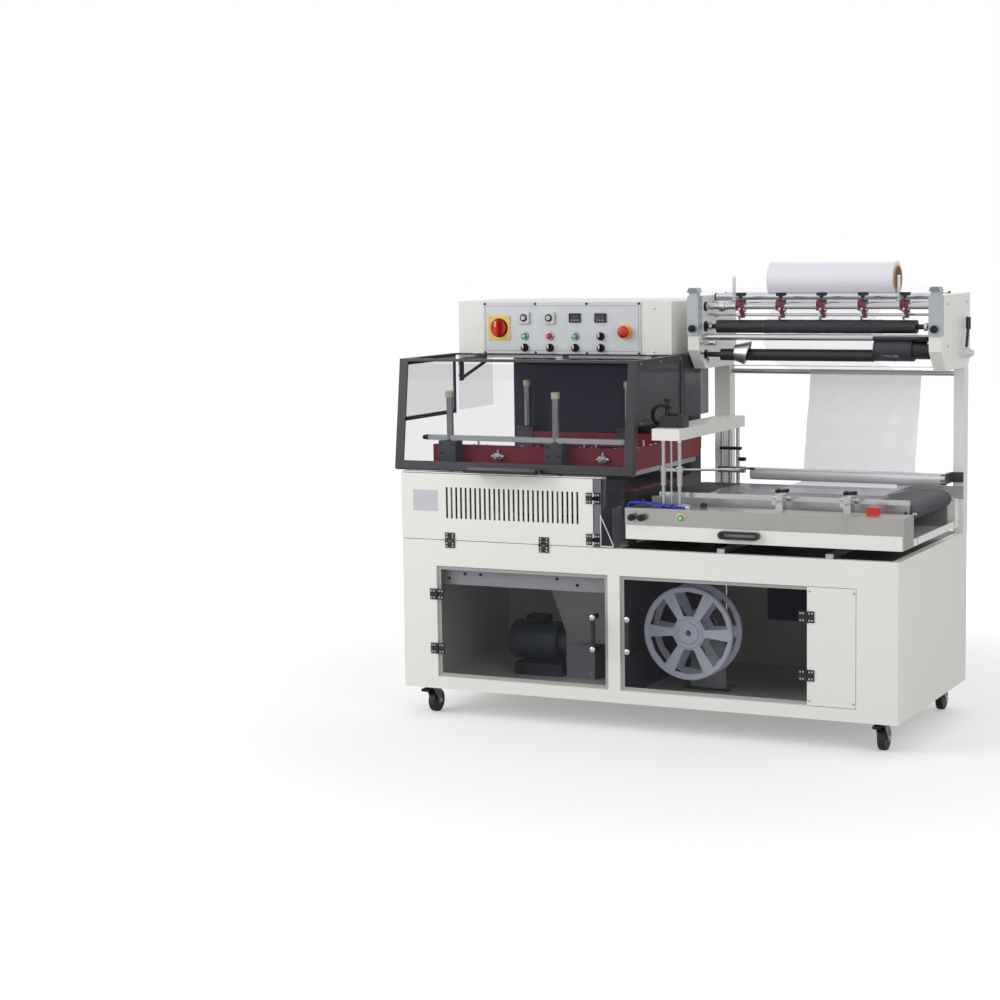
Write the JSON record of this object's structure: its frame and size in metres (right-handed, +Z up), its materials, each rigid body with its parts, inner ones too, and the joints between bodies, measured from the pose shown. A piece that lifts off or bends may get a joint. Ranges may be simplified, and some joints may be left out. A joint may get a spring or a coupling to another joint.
{
  "type": "l bar sealer",
  "caption": "Automatic L-shaped film sealer: cabinet on casters, smoked hood over the sealing jaws, belt infeed and film unit with perforating wheels.",
  "frame": {"origin": "on the floor under the middle of the whole machine", "axes": "+X towards the infeed end, +Y towards the back, +Z up"},
  "size_m": [1.7, 0.845, 1.442],
  "materials": {
    "cabinet_paint": "fine textured warm white powder coat",
    "panel_paint": "fine textured warm white powder coat",
    "hinge_black": "black moulded plastic",
    "maroon_bar": "maroon coated aluminium bar",
    "jaw_steel": "dark anodised aluminium with silicone strip",
    "post_steel": "ground steel posts with yellow metal caps",
    "belt_dark": "dark woven conveyor belt",
    "column_dark": "dark grey powder coat",
    "box_paint": "fine textured warm white powder coat",
    "fascia_plate": "satin light grey control plate",
    "plate_paint": "white coated film unit side plates",
    "bar_steel": "ground steel bars",
    "guard_clear": "clear and smoked acrylic",
    "smoked": "smoked acrylic",
    "hood_dark": "dark grey frame",
    "clamp_maroon": "maroon clamps with black knobs",
    "film_clear": "clear shrink film",
    "film_roll": "wound shrink film on a board core",
    "drive_dark": "painted motors and gearbox",
    "stainless": "brushed stainless sheet",
    "tray_paint": "warm white powder coat",
    "former_paint": "white arm cover on steel rods",
    "tube_blue": "blue polyurethane air tube",
    "guide_steel": "bright steel rail and rods",
    "roller_steel": "steel roller",
    "nip_rubber": "black rubber covered roller",
    "wheel_steel": "pin wheels",
    "reel_grey": "light grey moulded reel",
    "lever_steel": "steel lever with black grip",
    "fork_zinc": "zinc plated fork",
    "wheel_black": "black caster wheel",
    "switch_red": "red knob on yellow plate",
    "button_green": "green push button",
    "button_red": "red push button",
    "selector_black": "black selector knob"
  },
  "bodies": {
    "frame": {"base_cabinet": "cabinet_paint", "service_panels": "panel_paint", "cabinet_hinges": "hinge_black", "station_housing": "cabinet_paint", "outfeed_belt": "belt_dark", "lower_jaw": "jaw_steel", "guide_posts": "post_steel", "support_column": "column_dark", "control_box": "box_paint", "control_fascia": "fascia_plate", "film_stand": "plate_paint", "film_bars": "bar_steel", "fixed_guards": "guard_clear", "perforator_clamps": "clamp_maroon", "film_web": "film_clear", "bay_drives": "drive_dark"},
    "hood": {"hood_frame": "hood_dark", "hood_glass": "smoked"},
    "louvre": {"louvre_panel": "panel_paint"},
    "guard": {"guard_door": "smoked"},
    "door_left": {"left_door": "smoked", "left_door_fittings": "hinge_black"},
    "door_right": {"right_door": "smoked", "right_door_fittings": "hinge_black"},
    "jaw_carriage": {"upper_jaw": "maroon_bar"},
    "infeed": {"infeed_tray": "tray_paint", "infeed_console": "stainless", "infeed_belt": "belt_dark", "film_former": "former_paint", "air_tubes": "tube_blue"},
    "guide": {"product_guide": "guide_steel"},
    "infeed_drive": {"infeed_roller": "roller_steel"},
    "outfeed_drive": {"outfeed_roller": "roller_steel"},
    "nip": {"nip_roller": "nip_rubber"},
    "draw": {"draw_roller": "nip_rubber"},
    "cradle_front": {"cradle_roller_front": "roller_steel"},
    "cradle_rear": {"cradle_roller_rear": "roller_steel"},
    "roll": {"film_roll": "film_roll"},
    "perforator": {"perforator_wheels": "wheel_steel"},
    "reel": {"waste_reel": "reel_grey"},
    "lever": {"nip_lever": "lever_steel"},
    "switch": {"main_switch": "switch_red"},
    "estop": {"emergency_stop": "switch_red"},
    "button_start": {"start_button": "button_green"},
    "button_stop": {"stop_button": "button_red"},
    "button_ready": {"ready_button": "button_green"},
    "button_tray": {"tray_button": "button_green"},
    "mode_knob": {"mode_selector": "selector_black"},
    "seal_knob": {"seal_selector": "selector_black"},
    "feed_knob": {"feed_selector": "selector_black"},
    "film_knob": {"film_selector": "selector_black"},
    "belt_knob": {"belt_selector": "selector_black"},
    "fork_front_left": {"caster_fork_front_left": "fork_zinc"},
    "wheel_front_left": {"caster_wheel_front_left": "wheel_black"},
    "fork_front_right": {"caster_fork_front_right": "fork_zinc"},
    "wheel_front_right": {"caster_wheel_front_right": "wheel_black"},
    "fork_rear_left": {"caster_fork_rear_left": "fork_zinc"},
    "wheel_rear_left": {"caster_wheel_rear_left": "wheel_black"},
    "fork_rear_right": {"caster_fork_rear_right": "fork_zinc"},
    "wheel_rear_right": {"caster_wheel_rear_right": "wheel_black"}
  },
  "joints": [
    {"name": "hood_hinge", "type": "hinge", "parent": "frame", "child": "hood", "pos_m": [-0.438, 0.0495, 1.141], "axis": [1, 0, 0], "range_deg": [-65, 0]},
    {"name": "louvre_hinge", "type": "hinge", "parent": "frame", "child": "louvre", "pos_m": [-0.494, -0.3665, 0.578], "axis": [1, 0, 0], "range_deg": [0, 90]},
    {"name": "guard_hinge", "type": "hinge", "parent": "louvre", "child": "guard", "pos_m": [-0.156, -0.3665, 0.686], "axis": [0, 0, 1], "range_deg": [-100, 0]},
    {"name": "left_door_hinge", "type": "hinge", "parent": "frame", "child": "door_left", "pos_m": [-0.7065, -0.3665, 0.314], "axis": [0, 0, 1], "range_deg": [-110, 0]},
    {"name": "right_door_hinge", "type": "hinge", "parent": "frame", "child": "door_right", "pos_m": [0.5305, -0.3665, 0.314], "axis": [0, 0, 1], "range_deg": [0, 110]},
    {"name": "jaw_stroke", "type": "slide", "parent": "frame", "child": "jaw_carriage", "axis": [0, 0, 1], "range_m": [-0.0408, 0.06]},
    {"name": "infeed_slide", "type": "slide", "parent": "frame", "child": "infeed", "axis": [0, 1, 0], "range_m": [-0.15, 0]},
    {"name": "guide_slide", "type": "slide", "parent": "infeed", "child": "guide", "axis": [0, 1, 0], "range_m": [-0.018, 0.03]},
    {"name": "infeed_roller_spin", "type": "hinge", "parent": "infeed", "child": "infeed_drive", "pos_m": [0.79, -0.0125, 0.7047], "axis": [0, 1, 0], "continuous": true},
    {"name": "outfeed_roller_spin", "type": "hinge", "parent": "frame", "child": "outfeed_drive", "pos_m": [-0.8, 0.0075, 0.7047], "axis": [0, 1, 0], "continuous": true},
    {"name": "film_roll_spin", "type": "hinge", "parent": "frame", "child": "roll", "pos_m": [0.4075, 0.2775, 1.385], "axis": [1, 0, 0], "continuous": true},
    {"name": "cradle_front_spin", "type": "hinge", "parent": "frame", "child": "cradle_front", "pos_m": [0.397, 0.2325, 1.3323], "axis": [1, 0, 0], "continuous": true},
    {"name": "cradle_rear_spin", "type": "hinge", "parent": "frame", "child": "cradle_rear", "pos_m": [0.397, 0.3225, 1.3323], "axis": [1, 0, 0], "continuous": true},
    {"name": "nip_spin", "type": "hinge", "parent": "frame", "child": "nip", "pos_m": [0.397, 0.1375, 1.24], "axis": [1, 0, 0], "continuous": true},
    {"name": "draw_spin", "type": "hinge", "parent": "frame", "child": "draw", "pos_m": [0.33, 0.1375, 1.15], "axis": [1, 0, 0], "continuous": true},
    {"name": "perforator_spin", "type": "hinge", "parent": "frame", "child": "perforator", "pos_m": [0.41, 0.1375, 1.2763], "axis": [1, 0, 0], "continuous": true},
    {"name": "reel_spin", "type": "hinge", "parent": "frame", "child": "reel", "pos_m": [0.105, -0.1925, 0.305], "axis": [0, 1, 0], "continuous": true},
    {"name": "nip_lever_turn", "type": "hinge", "parent": "frame", "child": "lever", "pos_m": [0.83, 0.3125, 1.152], "axis": [1, 0, 0], "range_deg": [0, 60]},
    {"name": "main_switch_turn", "type": "hinge", "parent": "frame", "child": "switch", "pos_m": [-0.684, 0.0475, 1.236], "axis": [0, -1, 0], "range_deg": [0, 90]},
    {"name": "mode_selector_turn", "type": "hinge", "parent": "frame", "child": "mode_knob", "pos_m": [-0.3165, 0.0575, 1.209], "axis": [0, -1, 0], "range_deg": [-45, 45]},
    {"name": "seal_selector_turn", "type": "hinge", "parent": "frame", "child": "seal_knob", "pos_m": [-0.591, 0.0575, 1.171], "axis": [0, -1, 0], "range_deg": [-45, 45]},
    {"name": "feed_selector_turn", "type": "hinge", "parent": "frame", "child": "feed_knob", "pos_m": [-0.4995, 0.0575, 1.171], "axis": [0, -1, 0], "range_deg": [-45, 45]},
    {"name": "film_selector_turn", "type": "hinge", "parent": "frame", "child": "film_knob", "pos_m": [-0.408, 0.0575, 1.171], "axis": [0, -1, 0], "range_deg": [-45, 45]},
    {"name": "belt_selector_turn", "type": "hinge", "parent": "frame", "child": "belt_knob", "pos_m": [-0.3165, 0.0575, 1.171], "axis": [0, -1, 0], "range_deg": [-45, 45]},
    {"name": "estop_press", "type": "slide", "parent": "frame", "child": "estop", "axis": [0, 1, 0], "range_m": [0, 0.005], "stiffness_N_per_m": 1500},
    {"name": "start_press", "type": "slide", "parent": "frame", "child": "button_start", "axis": [0, 1, 0], "range_m": [0, 0.004], "stiffness_N_per_m": 500},
    {"name": "stop_press", "type": "slide", "parent": "frame", "child": "button_stop", "axis": [0, 1, 0], "range_m": [0, 0.004], "stiffness_N_per_m": 500},
    {"name": "ready_press", "type": "slide", "parent": "frame", "child": "button_ready", "axis": [0, 1, 0], "range_m": [0, 0.004], "stiffness_N_per_m": 500},
    {"name": "tray_press", "type": "slide", "parent": "infeed", "child": "button_tray", "axis": [0, 1, 0], "range_m": [0, 0.003], "stiffness_N_per_m": 500},
    {"name": "front_left_swivel", "type": "hinge", "parent": "frame", "child": "fork_front_left", "pos_m": [-0.762, -0.2975, 0.08], "axis": [0, 0, 1], "continuous": true},
    {"name": "front_left_roll", "type": "hinge", "parent": "fork_front_left", "child": "wheel_front_left", "pos_m": [-0.762, -0.2735, 0.037], "axis": [1, 0, 0], "continuous": true},
    {"name": "front_right_swivel", "type": "hinge", "parent": "frame", "child": "fork_front_right", "pos_m": [0.742, -0.2975, 0.08], "axis": [0, 0, 1], "continuous": true},
    {"name": "front_right_roll", "type": "hinge", "parent": "fork_front_right", "child": "wheel_front_right", "pos_m": [0.742, -0.2735, 0.037], "axis": [1, 0, 0], "continuous": true},
    {"name": "rear_left_swivel", "type": "hinge", "parent": "frame", "child": "fork_rear_left", "pos_m": [-0.762, 0.3425, 0.08], "axis": [0, 0, 1], "continuous": true},
    {"name": "rear_left_roll", "type": "hinge", "parent": "fork_rear_left", "child": "wheel_rear_left", "pos_m": [-0.762, 0.3665, 0.037], "axis": [1, 0, 0], "continuous": true},
    {"name": "rear_right_swivel", "type": "hinge", "parent": "frame", "child": "fork_rear_right", "pos_m": [0.742, 0.3425, 0.08], "axis": [0, 0, 1], "continuous": true},
    {"name": "rear_right_roll", "type": "hinge", "parent": "fork_rear_right", "child": "wheel_rear_right", "pos_m": [0.742, 0.3665, 0.037], "axis": [1, 0, 0], "continuous": true}
  ],
  "couplings": [
    {"joint": "cradle_front_spin", "follows": "film_roll_spin", "ratio": -4.75},
    {"joint": "cradle_rear_spin", "follows": "film_roll_spin", "ratio": -4.75},
    {"joint": "nip_spin", "follows": "film_roll_spin", "ratio": -2.7143},
    {"joint": "draw_spin", "follows": "film_roll_spin", "ratio": -3},
    {"joint": "perforator_spin", "follows": "film_roll_spin", "ratio": 3.8}
  ]
}
